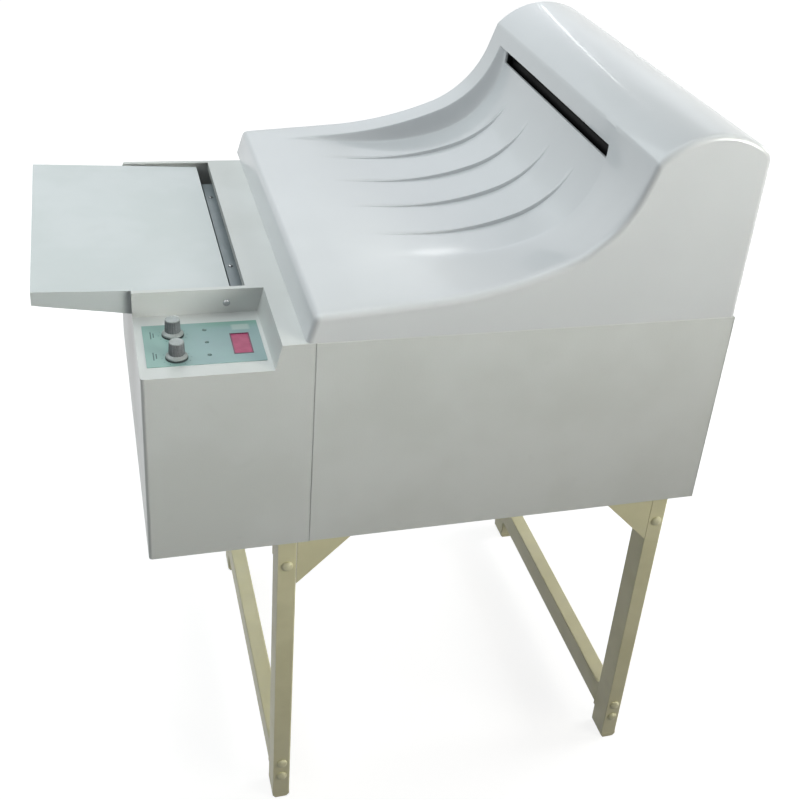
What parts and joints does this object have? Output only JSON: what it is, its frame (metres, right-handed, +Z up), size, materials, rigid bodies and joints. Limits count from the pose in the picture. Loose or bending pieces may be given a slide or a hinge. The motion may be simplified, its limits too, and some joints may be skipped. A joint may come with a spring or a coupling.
{
  "type": "x-ray film processor",
  "caption": "Floor-standing table-height film processor: feed tray and control ledge at one end, tanks in the middle, dryer hood with a receiving tray, on a tube stand.",
  "frame": {"origin": "on the floor, under the centre of the overall box", "axes": "+Z up, +X from the feed tray towards the dryer hood, -Y towards the operator's side with the control ledge"},
  "size_m": [0.87, 0.62, 1.0409],
  "materials": {
    "stand_paint": "satin khaki powder paint",
    "steel": "plain zinc-plated and stainless steel",
    "cabinet_paint": "semi-gloss greenish grey paint",
    "cover_gloss": "glossy off-white moulded plastic",
    "tray_paint": "semi-gloss off-white paint",
    "fascia_teal": "pale teal membrane",
    "window_pink": "deep pink clear window",
    "lens_green": "small moulded lenses",
    "circuit_green": "coated circuit board",
    "knob_grey": "matte grey with a pale cap",
    "tank_pvc": "grey PVC",
    "rack_plastic": "dark grey filled plastic",
    "roller_rubber": "soft dark rubber",
    "roller_plastic": "smooth dark plastic tube",
    "belt_rubber": "black rubber",
    "impeller_blue": "moulded plastic",
    "motor_dark": "dark casing",
    "box_grey": "pale grey moulding"
  },
  "bodies": {
    "cabinet": {"leg_front_left": "stand_paint", "leg_front_right": "stand_paint", "leg_rear_left": "stand_paint", "leg_rear_right": "stand_paint", "foot_plugs": "stand_paint", "low_rail_left": "stand_paint", "low_rail_right": "stand_paint", "upper_frame": "stand_paint", "gusset_plates": "stand_paint", "stand_bolts": "steel", "stand_nuts": "steel", "base_pan": "cabinet_paint", "front_panel": "cabinet_paint", "rear_panel": "cabinet_paint", "right_end_panel": "cabinet_paint", "feed_end_cover": "cabinet_paint", "panel_screws": "steel", "control_fascia": "fascia_teal", "display_window": "window_pink", "indicator_lenses": "lens_green", "control_board": "circuit_green", "tray_pivots": "steel", "entrance_frame": "tank_pvc", "entrance_guide": "steel", "guide_screws": "steel", "tank_block": "tank_pvc", "developer_rack": "rack_plastic", "fixer_rack": "rack_plastic", "wash_rack": "rack_plastic", "dryer_frame": "rack_plastic", "dryer_belt": "belt_rubber", "air_duct": "steel", "blower_housing": "steel", "drive_plate": "steel", "shaft_bearings": "tank_pvc", "drive_motor": "motor_dark", "circulation_pumps": "motor_dark", "electrics_box": "box_grey", "service_fittings": "motor_dark"},
    "cover": {"top_cover": "cover_gloss"},
    "tray": {"feed_tray": "tray_paint"},
    "front_knob": {"knob_front": "knob_grey"},
    "rear_knob": {"knob_rear": "knob_grey"},
    "worm": {"worm_shaft": "steel"},
    "entrance_drive": {"entrance_drive_roller": "roller_rubber"},
    "entrance_nip": {"entrance_nip_roller": "roller_rubber"},
    "developer_drive": {"developer_drive_roller": "roller_rubber"},
    "developer_nip": {"developer_nip_roller": "roller_rubber"},
    "developer_turn": {"developer_turn_roller": "roller_plastic"},
    "fixer_drive": {"fixer_drive_roller": "roller_rubber"},
    "fixer_nip": {"fixer_nip_roller": "roller_rubber"},
    "fixer_turn": {"fixer_turn_roller": "roller_plastic"},
    "wash_drive": {"wash_drive_roller": "roller_rubber"},
    "wash_nip": {"wash_nip_roller": "roller_rubber"},
    "wash_turn": {"wash_turn_roller": "roller_plastic"},
    "dryer_drive": {"dryer_drive_roller": "roller_rubber"},
    "dryer_nip": {"dryer_nip_roller": "roller_rubber"},
    "exit_drive": {"exit_drive_roller": "roller_rubber"},
    "exit_nip": {"exit_nip_roller": "roller_rubber"},
    "impeller": {"blower_impeller": "impeller_blue"}
  },
  "joints": [
    {"name": "cover_lift", "type": "slide", "parent": "cabinet", "child": "cover", "axis": [0, 0, 1], "range_m": [0, 0.3]},
    {"name": "tray_pivot", "type": "hinge", "parent": "cabinet", "child": "tray", "pos_m": [-0.206, 0.052, 0.771], "axis": [0, 1, 0], "range_deg": [0, 75]},
    {"name": "front_knob_turn", "type": "hinge", "parent": "cabinet", "child": "front_knob", "pos_m": [-0.276, -0.267, 0.77], "axis": [0, 0, 1], "range_deg": [-150, 150]},
    {"name": "rear_knob_turn", "type": "hinge", "parent": "cabinet", "child": "rear_knob", "pos_m": [-0.276, -0.213, 0.77], "axis": [0, 0, 1], "range_deg": [-150, 150]},
    {"name": "worm_spin", "type": "hinge", "parent": "cabinet", "child": "worm", "pos_m": [0.08, -0.204, 0.723], "axis": [1, 0, 0], "continuous": true},
    {"name": "entrance_drive_spin", "type": "hinge", "parent": "cabinet", "child": "entrance_drive", "pos_m": [-0.141, 0.042, 0.752], "axis": [0, 1, 0], "continuous": true},
    {"name": "entrance_nip_spin", "type": "hinge", "parent": "cabinet", "child": "entrance_nip", "pos_m": [-0.141, 0.042, 0.7744], "axis": [0, 1, 0], "continuous": true},
    {"name": "developer_drive_spin", "type": "hinge", "parent": "cabinet", "child": "developer_drive", "pos_m": [-0.0802, 0.042, 0.752], "axis": [0, 1, 0], "continuous": true},
    {"name": "developer_nip_spin", "type": "hinge", "parent": "cabinet", "child": "developer_nip", "pos_m": [-0.0558, 0.042, 0.752], "axis": [0, 1, 0], "continuous": true},
    {"name": "developer_turn_spin", "type": "hinge", "parent": "cabinet", "child": "developer_turn", "pos_m": [-0.038, 0.042, 0.5875], "axis": [0, 1, 0], "continuous": true},
    {"name": "fixer_drive_spin", "type": "hinge", "parent": "cabinet", "child": "fixer_drive", "pos_m": [0.0548, 0.042, 0.752], "axis": [0, 1, 0], "continuous": true},
    {"name": "fixer_nip_spin", "type": "hinge", "parent": "cabinet", "child": "fixer_nip", "pos_m": [0.0792, 0.042, 0.752], "axis": [0, 1, 0], "continuous": true},
    {"name": "fixer_turn_spin", "type": "hinge", "parent": "cabinet", "child": "fixer_turn", "pos_m": [0.097, 0.042, 0.5875], "axis": [0, 1, 0], "continuous": true},
    {"name": "wash_drive_spin", "type": "hinge", "parent": "cabinet", "child": "wash_drive", "pos_m": [0.1898, 0.042, 0.752], "axis": [0, 1, 0], "continuous": true},
    {"name": "wash_nip_spin", "type": "hinge", "parent": "cabinet", "child": "wash_nip", "pos_m": [0.2142, 0.042, 0.752], "axis": [0, 1, 0], "continuous": true},
    {"name": "wash_turn_spin", "type": "hinge", "parent": "cabinet", "child": "wash_turn", "pos_m": [0.232, 0.042, 0.5875], "axis": [0, 1, 0], "continuous": true},
    {"name": "dryer_drive_spin", "type": "hinge", "parent": "cabinet", "child": "dryer_drive", "pos_m": [0.297, 0.042, 0.752], "axis": [0, 1, 0], "continuous": true},
    {"name": "dryer_nip_spin", "type": "hinge", "parent": "cabinet", "child": "dryer_nip", "pos_m": [0.2848, 0.042, 0.77313], "axis": [0, 1, 0], "continuous": true},
    {"name": "exit_drive_spin", "type": "hinge", "parent": "cabinet", "child": "exit_drive", "pos_m": [0.305, 0.042, 0.9802], "axis": [0, 1, 0], "continuous": true},
    {"name": "exit_nip_spin", "type": "hinge", "parent": "cabinet", "child": "exit_nip", "pos_m": [0.305, 0.042, 0.9558], "axis": [0, 1, 0], "continuous": true},
    {"name": "impeller_spin", "type": "hinge", "parent": "cabinet", "child": "impeller", "pos_m": [0.363, 0.034, 0.6135], "axis": [0, 1, 0], "continuous": true}
  ],
  "couplings": [
    {"joint": "entrance_drive_spin", "follows": "worm_spin", "ratio": 0.05},
    {"joint": "entrance_nip_spin", "follows": "worm_spin", "ratio": -0.06},
    {"joint": "developer_drive_spin", "follows": "worm_spin", "ratio": 0.05},
    {"joint": "developer_nip_spin", "follows": "worm_spin", "ratio": -0.05},
    {"joint": "fixer_drive_spin", "follows": "worm_spin", "ratio": 0.05},
    {"joint": "fixer_nip_spin", "follows": "worm_spin", "ratio": -0.05},
    {"joint": "wash_drive_spin", "follows": "worm_spin", "ratio": 0.05},
    {"joint": "wash_nip_spin", "follows": "worm_spin", "ratio": -0.05},
    {"joint": "dryer_drive_spin", "follows": "worm_spin", "ratio": 0.05},
    {"joint": "dryer_nip_spin", "follows": "worm_spin", "ratio": -0.05},
    {"joint": "exit_drive_spin", "follows": "worm_spin", "ratio": 0.05},
    {"joint": "exit_nip_spin", "follows": "worm_spin", "ratio": -0.05}
  ]
}
